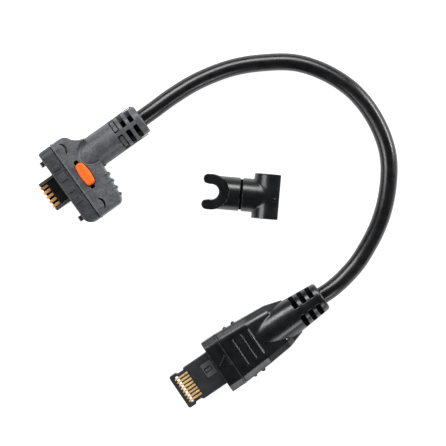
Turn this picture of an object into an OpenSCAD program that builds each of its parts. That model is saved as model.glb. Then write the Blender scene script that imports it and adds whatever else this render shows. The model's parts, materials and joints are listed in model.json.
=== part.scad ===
// Short adapter lead with its swivel cable clip, lying flat on a table.
// A tee-shaped accessory plug with a push-button catch sits at one end, a flat
// eight-contact plug in a ribbed boot at the other, and a loose clip between them.
// Millimetres. +Z is up and z = 0 is the surface that everything lies on.

/* [Places on the table] */
// Tee plug: place of the middle of its front face along X
tee_x = -34.7; // [-38:0.1:-32]
// Tee plug: place of the middle of its front face along Y
tee_y = 18.9; // [15:0.1:22]
// Tee plug: direction of the cable exit, counted from +X
tee_turn = 35.5; // [30:0.5:40]
// Flat plug: place of the middle of its nose along X
plug_x = -1.8; // [-5:0.1:2]
// Flat plug: place of the middle of its nose along Y
plug_y = -38.9; // [-42:0.1:-36]
// Flat plug: direction of the cable exit, counted from +X
plug_turn = 34.2; // [30:0.2:40]
// Clip: place of its swivel gap along X
clip_x = 15.8; // [12:0.1:20]
// Clip: place of its swivel gap along Y
clip_y = 17.7; // [14:0.1:22]
// Clip: direction of its stem, counted from +X
clip_turn = -5; // [-10:1:10]

/* [Tee plug] */
// Length of the crossbar
tee_w = 24.9; // [24.6:0.1:25.4]
// Thickness of the crossbar, and of the boot of the flat plug
body_h = 12; // [11.8:0.1:12.6]
// Depth of the front shell, up to the seam
seam_depth = 4.1; // [4:0.05:4.2]
// Depth of the whole crossbar
tee_depth = 13.3; // [13.1:0.1:13.5]
// Wall of both shells
shell_wall = 1.2; // [1:0.1:1.3]
// Offset of the neck from the middle of the crossbar
neck_offset = 3.8; // [3.6:0.1:4]
// Diameter of the neck where it leaves the crossbar
neck_d = 9.4; // [9.2:0.1:9.6]
// Distance from the front face to the end of the strain relief
neck_end = 30; // [29.6:0.1:30.4]

/* [Tongue and catch] */
// Width of the tongue
tongue_w = 9.1; // [8.9:0.1:9.3]
// Length of the tongue in front of the crossbar
tongue_l = 5; // [4.6:0.1:5.4]
// Offset of the tongue from the middle of the crossbar
tongue_offset = 0.9; // [0.7:0.1:1.1]
// Pitch of the tongue's contacts
tongue_pitch = 1.5; // [1.4:0.05:1.6]
// Distance of each hook from the middle of the crossbar
hook_offset = 9.4; // [9.2:0.1:9.5]
// Width of each hook
hook_w = 1.6; // [1.4:0.1:1.6]
// Distance of the button's middle from the front face
button_depth = 7.4; // [7.3:0.05:7.5]
// Offset of the button from the middle of the crossbar
button_offset = 0.4; // [0.2:0.1:0.5]
// Length of the button
button_l = 7.4; // [7:0.1:7.6]
// Width of the button
button_w = 3.4; // [3.2:0.1:3.5]

/* [Flat plug] */
// Width of the plug
plug_w = 10.6; // [10.4:0.1:10.8]
// Thickness of the plug
plug_h = 5.2; // [5:0.1:5.4]
// Pitch of the plug's contacts
plug_pitch = 1.02; // [1:0.01:1.04]
// Distance from the nose to the front of the collar
collar_front = 13; // [12.8:0.1:13.2]
// Width of the collar
collar_w = 16.4; // [16.2:0.1:16.8]
// Distance from the nose to the end of the boot
boot_end = 49.3; // [49:0.1:49.6]

/* [Cable] */
// Diameter of the cable's jacket
cable_d = 5; // [4.8:0.05:5]

/* [Clip] */
// Diameter of the clip's stem and of its saddle
stem_d = 9.6; // [9.4:0.1:9.8]
// Distance from the swivel gap to the middle of the hook's opening
hook_reach = 8.5; // [8.3:0.1:8.7]
// Outer radius of the hook's plate
hook_r = 5.1; // [5:0.1:5.2]
// Radius of the hook's opening
hook_bore_r = 2.2; // [2.1:0.05:2.3]
// Thickness of the hook's plate
hook_plate = 5.6; // [5:0.1:6]
// Distance from the swivel gap to the saddle's axis
saddle_reach = 8.25; // [8.1:0.05:8.4]
// Length of the saddle
saddle_l = 12.9; // [12.6:0.1:13.2]
// Radius of the saddle's bore
saddle_bore_r = 3.2; // [3:0.1:3.3]

/* [Hidden] */
$fn = 48;
eps = 0.01;
mid = body_h / 2;

// Crossbar of the tee plug
end_r = 2.5;              // rounding of the crossbar's long edges
half_w = tee_w / 2;
band_depth = 6.1;         // flat band behind the front face; the top slopes behind it
slope_drop = 1.1;         // how far the top and bottom have dropped at the rear
seam_gap = 0.1;
corner_r = 1.9;
rear_depth = 12.3;        // depth of the shoulder away from the neck
shoulder_r = 3.4;         // convex round of the shoulder beside the neck
cove_r = 5;               // concave round from that shoulder to the neck
neck_edge = neck_offset + neck_d / 2;
scoop_r = 6;              // thumb scoop between the button and the neck
scoop_x = 11.6;
scoop_z = 15.7;
hollow_back = 8.7;        // end of the hollow behind the button
roof_low = 9.2;
slot_low = 9.4;           // button slot
slot_r = 1.9;
slot_straight = 2.7;
flange_back = hollow_back - button_depth - 0.1;
ridge_count = 4;
ridge_pitch = 2.2;
ridge_r = 0.5;
window_w = 0.9;           // windows in the top over the catch's arms
window_l = 3.4;
mark_count = 4;           // plain raised marks on the front band

// Catch
pivot_depth = 2.9;
pivot_z = 7;
pin_r = 0.6;
arm_h = 1.2;
hook_reach_out = 1.3;
bar_front = 7;
bar_back = 8.2;
lug_front = 6.7;
lug_back = 7.9;
lug_top = 10.3;
wall_h = shell_wall;
spring_r = 1.05;
spring_wire_r = 0.16;
spring_turns = 6;
spring_low = wall_h;
spring_high = pivot_z - arm_h / 2;

// Tongue
tongue_h = 4.4;
tongue_floor = mid - tongue_h / 2;
tongue_side = 0.9;
tongue_contacts_n = 5;
strip_z = 6.3;
strip_t = 0.35;
strip_w = 0.78;
pad_back = -2.9;
board_top = strip_z;
board_t = 0.8;

// Neck sleeve and its slots, each as [start, end, depth cut in from the side]
relief_slots = [[21.3, 22.9, 1.3], [24.0, 25.3, neck_d], [26.5, 27.9, neck_d]];
relief_spine = 1.2;
web = 1.6;                // web between the upper and the lower pockets
neck_tip_d = 8.8;
wire_d = 0.8;
wire_r = wire_d / 2;
wire_steps = 4;
wire_sides = 8;
cable_start = 19;         // where the jacket begins inside the neck
ring_wall = 0.4;
ring_l = 2.8;

// Flat plug, collar and boot
plug_contacts_n = 8;
contact_w = 0.68;
contact_neck_w = 0.36;
nose_bar = 1.25;
slot_back = 2.3;
contact_back = 5.3;
notch_front = 2.75;
notch_back = 4.45;
notch_d = 0.55;
plug_top = mid + plug_h / 2;
plug_low = mid - plug_h / 2;
cavity_low = plug_low + 1.1;
cavity_top = plug_top - 1.4;
cavity_half = 4.3;
housing_end = 16;
anchor_front = 9.2;
anchor_back = 12.7;
anchor_offset = 0.95;
anchor_w = 4.3;
boot_front = 17.75;
corner_w = 2.1;            // corners cut off the boot, across and down
corner_h = 1.4;
core_end = 30;
cable_finish = 38;        // where the jacket ends inside the boot
rib_places = [20.9, 23.7, 26.4];
rib_w = 0.9;
rib_l = 8.4;
rib_h = 0.4;
bump_r = 0.6;
boot_slots = [[40.6, 42.0], [43.3, 44.7], [45.9, 47.3]];
boot_spine = 2.5;
// Boot sections as [distance from the nose, half width, half height]
boot_sections = [
    [boot_front, 8.15, mid], [26.6, 7.6, mid], [33.8, 7.0, 3.9], [38.9, 5.5, 0.6]
];
// Round neck of the boot as [distance from the nose, radius]
boot_neck = [[26.6, 6.0], [38.9, 5.2], [48.5, 4.35], [49.1, 4.1]];

// Clip
clip_z = stem_d / 2;
swivel_gap = 0.35;        // half of the gap between the clip's halves
rim = 0.5;
swivel_r = 2;
swivel_play = 0.06;
head_r = 2.5;
neck_l = 2.6;
disc_r = 4.1;
head_l = 3.4;
saddle_cut = 2.75;
saddle_slot = 5.2;

// Route of the cable between the two connectors, chosen by hand in table
// coordinates: [x, y, z of the centre line]. Both ends run straight along the
// connectors' axes, and the rest lies on the table.
cable_r = cable_d / 2;
function on_tee(d) = [
    tee_x + d * cos(tee_turn) - neck_offset * sin(tee_turn),
    tee_y + d * sin(tee_turn) + neck_offset * cos(tee_turn)
];
function on_plug(d) = [plug_x + d * cos(plug_turn), plug_y + d * sin(plug_turn)];
function lift(p, z) = [p[0], p[1], z];
route = [
    lift(on_tee(cable_start), mid),
    lift(on_tee(25), mid),
    lift(on_tee(neck_end), mid),
    lift(on_tee(34), 5.8),
    [-3.5, 46, 4.6],
    [4, 50.5, 3.2],
    [13, 54, 2.6],
    [22, 55.5, 2.5],
    [31.5, 55.5, 2.5],
    [40.5, 52.5, 2.5],
    [48.5, 47, 2.5],
    [54.5, 39, 2.5],
    [58, 29.5, 2.5],
    [58, 19.5, 2.55],
    [55.5, 9.5, 2.75],
    [50.5, 0, 3.6],
    [46, -5.5, 4.8],
    lift(on_plug(boot_end + 3.5), 5.9),
    lift(on_plug(boot_end), mid),
    lift(on_plug(44), mid),
    lift(on_plug(cable_finish), mid)
];
route_steps = 3;
cable_sides = 12;

// Catmull-Rom curve through the route's points
function clamp_index(i, n) = min(max(i, 0), n - 1);
function curve_point(p0, p1, p2, p3, t) =
    0.5 * (2 * p1 + (p2 - p0) * t + (2 * p0 - 5 * p1 + 4 * p2 - p3) * t * t
           + (3 * p1 - p0 - 3 * p2 + p3) * t * t * t);
function curve(pts, steps) = let (n = len(pts)) concat(
    [for (i = [0:n - 2], s = [0:steps - 1])
        curve_point(pts[clamp_index(i - 1, n)], pts[i], pts[i + 1],
                    pts[clamp_index(i + 2, n)], s / steps)],
    [pts[n - 1]]);
function unit(v) = v / norm(v);
function heading(pts, i) = let (n = len(pts))
    unit(pts[clamp_index(i + 1, n)] - pts[clamp_index(i - 1, n)]);
// One ring of a swept tube, square to its heading and level across
function ring_at(c, t, r, sides) = let (u = unit(cross([0, 0, 1], t)), v = cross(t, u))
    [for (k = [0:sides - 1]) c + r * (cos(360 * k / sides) * u + sin(360 * k / sides) * v)];

module sweep(pts, r, sides) {
    n = len(pts);
    rings = [for (i = [0:n - 1]) each ring_at(pts[i], heading(pts, i), r, sides)];
    walls = [for (i = [0:n - 2], k = [0:sides - 1])
        let (a = i * sides + k, b = i * sides + (k + 1) % sides)
            each [[a, a + sides, b + sides], [a, b + sides, b]]];
    first = [for (k = [0:sides - 1]) k];
    last = [for (k = [sides - 1:-1:0]) (n - 1) * sides + k];
    polyhedron(rings, concat(walls, [first], [last]), convexity = 10);
}

// Frames of the three assemblies: x runs back from the front face
module at_tee() translate([tee_x, tee_y, 0]) rotate(tee_turn) children();
module at_plug() translate([plug_x, plug_y, 0]) rotate(plug_turn) children();
module at_clip() translate([clip_x, clip_y, clip_z]) rotate(clip_turn) children();

// Box from one corner to the other
module block(a, b) translate(a) cube(b - a);
// Round bar along x at height z, and along y
module bar_x(x0, x1, r, y = 0, z = mid) translate([x0, y, z]) rotate([0, 90, 0])
    cylinder(h = x1 - x0, r = r);
module bar_y(x, y0, y1, r, z = mid) translate([x, y1, z]) rotate([90, 0, 0])
    cylinder(h = y1 - y0, r = r);
// Outline in the x-z plane, pushed along y
module profile_y(y0, y1) translate([0, y1, 0]) rotate([90, 0, 0])
    linear_extrude(y1 - y0) children();
function arc(c, r, a0, a1, n) = [for (i = [0:n])
    let (a = a0 + (a1 - a0) * i / n) c + r * [cos(a), sin(a)]];
// Rounded rectangle in the y-z plane, pushed along x
module rounded_bar(x0, x1, w, h, r) translate([x0, 0, mid]) rotate([90, 0, 90])
    linear_extrude(x1 - x0) {
        square([w - 2 * r, h], center = true);
        square([w, h - 2 * r], center = true);
        for (sy = [-1, 1], sz = [-1, 1])
            translate([sy * (w / 2 - r), sz * (h / 2 - r)]) circle(r);
    }

// Four pockets of a strain relief from x0 to x1, which leave a spine along the
// top and the bottom and a web on each side
module pockets(x0, x1, spine) for (side = [-1, 1], up = [-1, 1])
    block([x0, side > 0 ? spine : -body_h, up > 0 ? mid + web / 2 : -eps],
          [x1, side > 0 ? body_h : -spine, up > 0 ? body_h + eps : mid - web / 2]);

// ---- Tee plug ----

module tee_outline() polygon(concat(
    arc([0.9, half_w - 0.9], 0.9, 180, 90, 4),
    arc([button_depth - 0.4, half_w - shoulder_r], shoulder_r, 90, 40, 6),
    arc([tee_depth + 0.7, neck_edge + cove_r], cove_r, 220, 262, 5),
    [[tee_depth, neck_edge]],
    [[tee_depth, neck_offset - neck_d / 2]],
    [[tee_depth - 0.2, neck_offset - neck_d / 2 - 0.4]],
    arc([rear_depth - corner_r, corner_r - half_w], corner_r, 0, -90, 5),
    arc([2.4, 2.4 - half_w], 2.4, 270, 180, 5)
));

module tee_block() intersection() {
    linear_extrude(body_h) tee_outline();
    rounded_bar(0, tee_depth, tee_w, body_h, end_r);
    profile_y(-half_w, half_w) polygon([
        [0, 0], [0, body_h], [band_depth, body_h], [tee_depth, body_h - slope_drop],
        [tee_depth, slope_drop], [band_depth, 0]
    ]);
}

module hook_slot(side) block(
    [-eps, side * hook_offset - hook_w / 2 - 0.15, mid],
    [shell_wall + 1, side * hook_offset + hook_w / 2 + 0.15, mid + 2.9]);

module front_shell() color([0.33, 0.34, 0.36]) at_tee() {
    difference() {
        intersection() {
            tee_block();
            block([0, -half_w, 0], [seam_depth, half_w, body_h]);
        }
        block([shell_wall, shell_wall - half_w, shell_wall],
              [seam_depth + eps, half_w - shell_wall, body_h - shell_wall]);
        block([-eps, tongue_offset - tongue_w / 2 - 0.02, tongue_floor - 0.02],
              [shell_wall + eps, tongue_offset + tongue_w / 2 + 0.02,
               tongue_floor + tongue_h + 0.02]);
        for (side = [-1, 1]) hook_slot(side);
        for (side = [-1, 1])
            bar_y(pivot_depth, side * (half_w - 0.9) - 0.4, side * (half_w - 0.9) + 0.4,
                  pin_r + 0.02, pivot_z);
    }
    for (side = [-1, 1]) difference() {
        block([shell_wall - eps, side * (hook_offset - 1.7) - 0.4, pivot_z - 1.4],
              [seam_depth - 0.1, side * (hook_offset - 1.7) + 0.4, pivot_z + 1.4]);
        bar_y(pivot_depth, side * (hook_offset - 1.7) - 1, side * (hook_offset - 1.7) + 1,
              pin_r + 0.02, pivot_z);
    }
    // Plain raised marks, alternating a bar and a square
    for (i = [0:mark_count - 1])
        translate([0.9, 5.4 - i * 3.7, body_h - 0.1])
            cube([2.2, i % 2 == 0 ? 1.1 : 2.2, 0.3]);
}

module rear_shell() color([0.36, 0.37, 0.39]) at_tee() {
    difference() {
        intersection() {
            tee_block();
            block([seam_depth + seam_gap, -half_w, 0], [tee_depth, half_w, body_h]);
        }
        // Hollow for the catch, its roof lower under the thumb scoop
        for (part = [[shell_wall - half_w, half_w - shell_wall, roof_low],
                     [shell_wall - half_w, 4.2, body_h - shell_wall],
                     [8.4, half_w - shell_wall, body_h - shell_wall]])
            block([seam_depth, part[0], shell_wall], [hollow_back, part[1], part[2]]);
        block([hollow_back - 0.1, shell_wall + 1 - half_w, 2.4], [11, 7.2, 8.8]);
        bar_x(10.9, tee_depth + eps, 3.02, neck_offset);
        // Button slot with round ends
        translate([button_depth, button_offset, slot_low]) {
            block([-slot_r, -slot_straight, 0], [slot_r, slot_straight, body_h]);
            for (side = [-1, 1]) translate([0, side * slot_straight, 0])
                cylinder(h = body_h, r = slot_r);
        }
        // Windows over the ends of the catch's arms
        for (side = [-1, 1])
            block([button_depth - window_w / 2, side * hook_offset - window_l / 2, body_h - 2],
                  [button_depth + window_w / 2, side * hook_offset + window_l / 2, body_h + 1]);
        // Thumb scoop in front of the neck
        translate([scoop_x, neck_offset + 0.2, scoop_z]) sphere(scoop_r);
    }
    // Grip ridges on the rear face of the shoulder
    for (i = [0:ridge_count - 1])
        translate([tee_depth - 0.25 - i * 0.2, -3.5 - i * ridge_pitch, 2.2])
            cylinder(h = body_h - 4.4, r = ridge_r);
    // Post that keeps the spring in place
    translate([button_depth + 0.2, 0, shell_wall - eps]) cylinder(h = 1.4, r = 0.7);
}

module neck_profile() polygon([
    [tee_depth, 0], [tee_depth, neck_d / 2], [20, neck_d / 2],
    [neck_end - 0.7, neck_tip_d / 2], [neck_end, neck_tip_d / 2 - 0.7], [neck_end, 0]
]);

module neck_sleeve() color([0.35, 0.36, 0.38]) at_tee() translate([0, neck_offset, 0]) {
    difference() {
        union() {
            translate([0, 0, mid]) rotate([0, 90, 0]) rotate_extrude()
                rotate(90) mirror([0, 1]) neck_profile();
            bar_x(10.95, tee_depth + eps, 3);
        }
        bar_x(10.9, 15.1, 2.3);
        bar_x(15, neck_end + eps, cable_r);
        bar_x(cable_start - eps, cable_start + ring_l + 0.1, cable_r + ring_wall + 0.02);
        for (s = relief_slots)
            pockets(s[0], s[1], max(relief_spine / 2, neck_d / 2 - s[2]));
    }
    // Small moulding nib beside the end ring
    block([neck_end - 1.2, neck_tip_d / 2 - 0.6, mid - 0.4],
          [neck_end - 0.7, neck_tip_d / 2 + 0.3, mid + 0.4]);
}

module tongue_frame() color([0.42, 0.43, 0.45]) at_tee() difference() {
    block([-tongue_l, tongue_offset - tongue_w / 2, tongue_floor],
          [2.4, tongue_offset + tongue_w / 2, tongue_floor + tongue_h]);
    block([-tongue_l - eps, tongue_offset - tongue_w / 2 + tongue_side, tongue_floor + 1],
          [2.5, tongue_offset + tongue_w / 2 - tongue_side, tongue_floor + tongue_h + 1]);
}

module contact_block() color([0.05, 0.05, 0.05]) at_tee() translate([0, tongue_offset, 0]) {
    half = tongue_w / 2 - tongue_side - 0.03;
    difference() {
        union() {
            block([-tongue_l + 0.1, -half, tongue_floor + 1.02], [3.4, half, strip_z]);
            block([pad_back, -half, strip_z - eps], [3.4, half, tongue_floor + tongue_h - 0.4]);
        }
        for (i = [0:tongue_contacts_n - 1])
            translate([0, (i - 2) * tongue_pitch, 0])
                block([pad_back - 0.1, -strip_w / 2 - 0.05, strip_z - 0.02],
                      [3.5, strip_w / 2 + 0.05, strip_z + strip_t + 0.05]);
    }
}

module tongue_contacts() color([0.78, 0.62, 0.36]) at_tee()
    for (i = [0:tongue_contacts_n - 1])
        translate([0, tongue_offset + (i - 2) * tongue_pitch, 0]) {
            block([-tongue_l, -strip_w / 2, strip_z + 0.01], [4.9, strip_w / 2, strip_z + strip_t]);
            block([-tongue_l, -strip_w / 2, strip_z + 0.01],
                  [pad_back - 0.05, strip_w / 2, strip_z + 0.75]);
            bar_y(-tongue_l, -strip_w / 2, strip_w / 2, 0.36, strip_z + 0.385);
        }

module circuit_board() color([0.10, 0.32, 0.20]) at_tee()
    block([3.6, -4.6, board_top - board_t], [6.3, 6.6, board_top]);

module release_button() color([0.96, 0.42, 0.14]) at_tee() translate([button_depth, button_offset, 0]) {
    // Cap with a crowned top
    intersection() {
        union() {
            block([-button_w / 2, 1.5 - button_l / 2, 10.6], [button_w / 2, button_l / 2 - 1.5, 13]);
            for (side = [-1, 1])
                translate([0, side * (button_l / 2 - 1.5), 10.6]) intersection() {
                    cylinder(h = 2.4, r = button_w / 2);
                    block([-button_w, -1.5, 0], [button_w, 1.5, 3]);
                }
        }
        bar_y(0, -button_l, button_l, 2.6, 10.2);
    }
    block([-2.4, 0.4 - button_l / 2, 9.8], [flange_back, button_l / 2 - 0.4, 10.7]);
    // Foot that presses the catch's bar
    block([-0.2, -2.5, spring_high + arm_h + 0.1], [0.6, 2.5, 9.9]);
}

module catch_yoke() color([0.30, 0.29, 0.28]) at_tee() {
    for (side = [-1, 1]) translate([0, side * hook_offset, 0]) difference() {
        union() {
            block([-hook_reach_out, -hook_w / 2, pivot_z - arm_h / 2],
                  [bar_back, hook_w / 2, pivot_z + arm_h / 2]);
            block([-hook_reach_out, -hook_w / 2, pivot_z],
                  [0.5 - hook_reach_out, hook_w / 2, pivot_z + 1.3]);
            bar_y(pivot_depth, -hook_w / 2, hook_w / 2, 1.2, pivot_z);
            // Upturned end that shows in the window
            block([lug_front, -hook_w / 2, pivot_z], [lug_back, hook_w / 2, lug_top]);
        }
        bar_y(pivot_depth, -hook_w, hook_w, pin_r + 0.05, pivot_z);
    }
    block([bar_front, -hook_offset, pivot_z - arm_h / 2],
          [bar_back, hook_offset, pivot_z + arm_h / 2]);
}

module yoke_pins() color([0.70, 0.70, 0.72]) at_tee() for (side = [-1, 1])
    bar_y(pivot_depth, side * (half_w - 2.85) - 1.95, side * (half_w - 2.85) + 1.95,
          pin_r, pivot_z);

module catch_spring() color([0.75, 0.75, 0.77]) at_tee()
    translate([button_depth + 0.2, 0, 0]) {
        per_turn = 12;
        rise = spring_high - spring_low - 2 * spring_wire_r - 0.04;
        sweep([for (i = [0:spring_turns * per_turn])
            [spring_r * cos(360 * i / per_turn), spring_r * sin(360 * i / per_turn),
             spring_low + spring_wire_r + 0.02 + rise * i / (spring_turns * per_turn)]],
            spring_wire_r, 6);
    }

module tee_wires() color([0.75, 0.20, 0.15]) at_tee()
    for (i = [-2:2]) {
        row = abs(i) == 1 ? 0.8 : -0.5;
        sweep(curve([
            [5, neck_offset + i * 1.05, board_top - board_t - wire_r - 0.05],
            [6.2, neck_offset + i * 1.05, board_top - board_t - wire_r - 0.05],
            [8.6, neck_offset + i * 0.95, 5.0],
            [10.8, neck_offset + i * 0.75, mid + row],
            [cable_start, neck_offset + i * 0.75, mid + row]
        ], wire_steps), wire_r, wire_sides);
    }

// Crimped ring around the end of the jacket, from x0 on
module crimp_ring(x0, y) difference() {
    bar_x(x0, x0 + ring_l, cable_r + ring_wall, y);
    bar_x(x0 - 1, x0 + ring_l + 1, cable_r, y);
}
module tee_crimp_ring() color([0.72, 0.72, 0.74]) at_tee()
    crimp_ring(cable_start + 0.05, neck_offset);

// ---- Cable ----

module cable() color([0.04, 0.04, 0.045]) sweep(curve(route, route_steps), cable_r, cable_sides);

// ---- Flat plug ----

// The eight wires run in two staggered rows: spread wide under the contacts,
// and drawn together in four pairs where they enter the cable
function flat_y(i) = (i - (plug_contacts_n - 1) / 2) * plug_pitch;
function pair_y(i) = (floor(i / 2) - 1.5) * 0.92;
function pair_z(i) = mid + (i % 2 - 0.5) * 0.92;

module each_contact() for (i = [0:plug_contacts_n - 1])
    translate([0, flat_y(i), 0]) children();

module plug_outline() {
    h = plug_w / 2;
    polygon(concat(
        arc([0.6, h - 0.6], 0.6, 180, 90, 4),
        [[notch_front - 0.5, h], [notch_front, h - notch_d],
         [notch_back, h - notch_d], [notch_back + 0.5, h], [housing_end, h]],
        [[housing_end, -h], [notch_back + 0.5, -h], [notch_back, notch_d - h],
         [notch_front, notch_d - h], [notch_front - 0.5, -h]],
        arc([0.6, 0.6 - h], 0.6, 270, 180, 4)
    ));
}

module plug_housing() color([0.09, 0.09, 0.10]) at_plug() difference() {
    translate([0, 0, plug_low]) linear_extrude(plug_h) plug_outline();
    // Slot right through behind the nose bar
    block([nose_bar, -4.35, plug_low - 1], [slot_back, 4.35, plug_top + 1]);
    // Grooves for the contacts, and the wells that their legs go down
    each_contact() {
        block([nose_bar - 0.35, -contact_neck_w / 2 - 0.04, plug_top - 0.7],
              [nose_bar + eps, contact_neck_w / 2 + 0.04, plug_top + 1]);
        block([slot_back - eps, -contact_w / 2 - 0.04, plug_top - 0.7],
              [contact_back + 0.05, contact_w / 2 + 0.04, plug_top + 1]);
        block([contact_back - 0.4, -contact_w / 2 - 0.04, cavity_top - 0.1],
              [contact_back + 0.05, contact_w / 2 + 0.04, plug_top + 1]);
    }
    block([contact_back - 0.4, -cavity_half, cavity_low],
          [housing_end + eps, cavity_half, cavity_top]);
    block([anchor_front, anchor_offset - anchor_w / 2, cavity_top - 0.1],
          [anchor_back, anchor_offset + anchor_w / 2, plug_top + 1]);
}

module plug_contacts() color([0.86, 0.68, 0.38]) at_plug() each_contact() {
    top = plug_top - 0.12;
    block([nose_bar - 0.3, -contact_neck_w / 2, plug_top - 0.6],
          [slot_back + 0.1, contact_neck_w / 2, top - 0.1]);
    block([slot_back + eps, -contact_w / 2, plug_top - 0.6], [contact_back, contact_w / 2, top]);
    block([contact_back - 0.3, -contact_w / 2, mid - 0.15], [contact_back, contact_w / 2, top]);
    block([contact_back - 0.3, -contact_w / 2, mid - 0.15], [7.4, contact_w / 2, mid + 0.15]);
}

module load_bar() color([0.75, 0.76, 0.74]) at_plug() difference() {
    block([8, 0.05 - cavity_half, cavity_low + 0.03], [8.9, cavity_half - 0.05, cavity_top - 0.03]);
    for (i = [0:plug_contacts_n - 1]) bar_x(7.9, 9, wire_r + 0.02, flat_y(i), pair_z(i));
}

module anchor_bar() color([0.20, 0.20, 0.21]) at_plug() translate([0, anchor_offset, 0]) {
    half = anchor_w / 2 - 0.04;
    difference() {
        block([anchor_front + 0.04, -half, cavity_top - 0.08],
              [anchor_back - 0.04, half, plug_top + 0.15]);
        block([anchor_front + 0.04 - eps, -0.9, plug_top - 0.35], [anchor_back - 0.7, 0.75, plug_top + 1]);
    }
    block([anchor_front + 0.6, -0.5, plug_top - 0.36], [anchor_back - 1, 0.35, plug_top + 0.05]);
}

module plug_wires() color([0.20, 0.40, 0.70]) at_plug()
    for (i = [0:plug_contacts_n - 1])
        sweep(curve([[7.45, flat_y(i), pair_z(i)], [16.5, flat_y(i), pair_z(i)],
                     [33, pair_y(i), pair_z(i)], [cable_finish, pair_y(i), pair_z(i)]],
                    wire_steps), wire_r, wire_sides);

// Hard core moulded round the wires, inside the soft boot
module boot_core() color([0.80, 0.80, 0.76]) at_plug() difference() {
    block([housing_end + 0.1, -5.15, plug_low + 0.05], [core_end, 5.15, plug_top - 0.05]);
    block([housing_end, -4.2, mid - 0.95], [core_end + 1, 4.2, mid + 0.95]);
}

// Section across the boot, with its four corners cut off
module boot_section(half_y, half_z) {
    cut = min(corner_h, half_z / 2);
    // Corner points in the first quadrant, mirrored round the other three
    side = [half_y, half_z - cut];
    top = [half_y - corner_w * cut / corner_h, half_z];
    polygon([for (p = [[1, 1, 0], [-1, 1, 1], [-1, -1, 0], [1, -1, 1]], k = [0, 1])
        let (q = (k + p[2]) % 2 == 0 ? side : top) [p[0] * q[0], p[1] * q[1]]]);
}
module boot_slab(x, l, half_y, half_z) translate([x, 0, mid]) rotate([90, 0, 90])
    linear_extrude(l) boot_section(half_y, half_z);

module boot_collar() color([0.07, 0.07, 0.08]) at_plug() {
    difference() {
        boot_slab(collar_front, boot_front - 0.05 - collar_front, collar_w / 2, mid);
        block([collar_front - 1, -plug_w / 2 - 0.02, plug_low - 0.02],
              [boot_front + 1, plug_w / 2 + 0.02, plug_top + 0.02]);
    }
    // Plain raised triangle
    translate([0, 0, body_h - 0.1]) linear_extrude(0.3)
        polygon([[13.9, 0], [17, 2], [17, -2]]);
}

module boot_round() translate([0, 0, mid]) rotate([0, 90, 0]) rotate_extrude()
    rotate(90) mirror([0, 1]) polygon(concat([[boot_neck[0][0], 0]], boot_neck,
        [[boot_end, boot_neck[3][1] - 0.3], [boot_end, 0]]));

module boot_body() color([0.06, 0.06, 0.07]) at_plug() {
    difference() {
        union() {
            hull() for (s = boot_sections) boot_slab(s[0], eps, s[1], s[2]);
            boot_round();
        }
        block([boot_front - 1, -5.2, plug_low], [core_end + 0.05, 5.2, plug_top]);
        bar_x(core_end - 1, boot_end + 1, cable_r);
        bar_x(cable_finish - 0.05, cable_finish + ring_l + 0.15, cable_r + ring_wall + 0.02);
        for (s = boot_slots) pockets(s[0], s[1], boot_spine / 2);
    }
    for (x = rib_places)
        block([x - rib_w / 2, -rib_l / 2, body_h - 0.2], [x + rib_w / 2, rib_l / 2, body_h + rib_h]);
    for (x = [rib_places[0], rib_places[1]], side = [-1, 1])
        translate([x, side * 7.8, 2.6]) cylinder(h = body_h - 5.2, r = bump_r);
}

module boot_crimp_ring() color([0.72, 0.72, 0.74]) at_plug() crimp_ring(cable_finish + 0.05, 0);

// ---- Clip ----

module stem(x0, x1) {
    r = stem_d / 2;
    translate([x0, 0, 0]) rotate([0, 90, 0]) cylinder(h = x1 - x0, r = r);
}

module clip_hook() color([0.07, 0.07, 0.07]) at_clip() {
    // Plate with an open hook
    translate([-hook_reach, 0, -hook_plate / 2]) difference() {
        union() {
            cylinder(h = hook_plate, r = hook_r);
            for (side = [-1, 1]) {
                arm = (hook_r + hook_bore_r) / 2;
                half = (hook_r - hook_bore_r) / 2;
                block([-1.1, side * arm - half, 0], [0, side * arm + half, hook_plate]);
                translate([-1.1, side * arm, 0]) cylinder(h = hook_plate, r = half);
            }
        }
        translate([0, 0, -1]) cylinder(h = hook_plate + 2, r = hook_bore_r);
        block([-hook_r - 1, -hook_bore_r, -1], [0, hook_bore_r, hook_plate + 1]);
        block([-hook_r - 1, -hook_r, -1], [-2.6, hook_r, hook_plate + 1]);
    }
    // Stem, cut round the plate
    difference() {
        union() {
            stem(-hook_reach, -swivel_gap - rim);
            translate([-swivel_gap - rim, 0, 0]) rotate([0, 90, 0])
                cylinder(h = rim, r1 = stem_d / 2, r2 = stem_d / 2 - rim);
        }
        translate([-hook_reach, 0, -stem_d]) cylinder(h = 2 * stem_d, r = hook_r - eps);
    }
    // Disc that fills the gap, and the swivel pin with its snap head
    translate([-swivel_gap - eps, 0, 0]) rotate([0, 90, 0])
        cylinder(h = 2 * swivel_gap - 0.1, r = disc_r);
    translate([-swivel_gap - eps, 0, 0]) rotate([0, 90, 0]) {
        cylinder(h = neck_l + swivel_gap, r = swivel_r);
        translate([0, 0, neck_l + swivel_gap])
            cylinder(h = head_l - neck_l, r1 = head_r, r2 = swivel_r);
    }
}

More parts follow.
